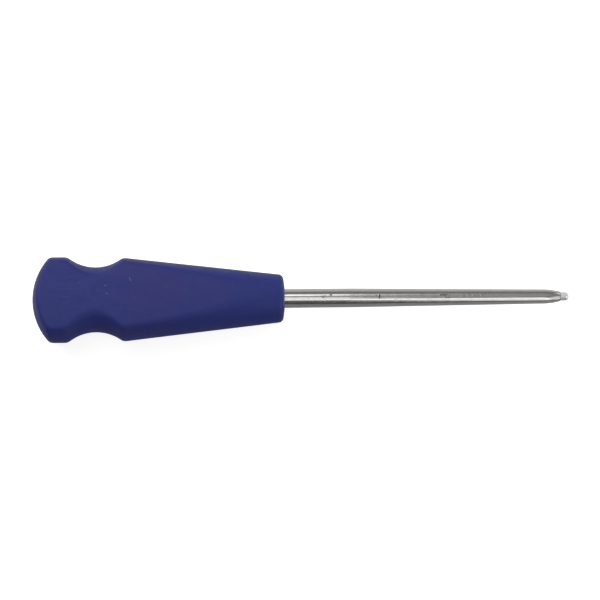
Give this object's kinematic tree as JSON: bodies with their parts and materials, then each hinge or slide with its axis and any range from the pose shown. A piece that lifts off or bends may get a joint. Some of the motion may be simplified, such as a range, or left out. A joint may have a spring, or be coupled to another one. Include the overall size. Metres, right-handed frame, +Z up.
{
  "type": "hexagonal screwdriver",
  "caption": "Palm-grip screwdriver with a waisted soft silicone handle milled with two flats, a slim tapered polished steel shaft and a short domed hexagonal tip.",
  "frame": {"origin": "on the surface the tool lies on, under the middle of its length and width", "axes": "+X along the shaft, from the handle towards the hexagonal tip; +Z up, square to the handle's two flats; +Y completes a right-handed frame, across the width of the handle"},
  "size_m": [0.245, 0.0392, 0.025],
  "materials": {
    "silicone": "matt, soft, lightly handled",
    "core": "moulded, plain",
    "bush_steel": "turned",
    "shaft_steel": "finely ground and polished",
    "tip_steel": "hardened, satin",
    "seal": "black, plain"
  },
  "bodies": {
    "root": {"grip_sleeve": "silicone", "handle_core": "core", "torque_bush": "bush_steel", "shaft": "shaft_steel", "hex_tip": "tip_steel", "cross_pins": "bush_steel", "seal_ring": "seal", "tang_screw": "bush_steel", "tang_washer": "bush_steel", "rear_plug": "core"}
  },
  "joints": []
}
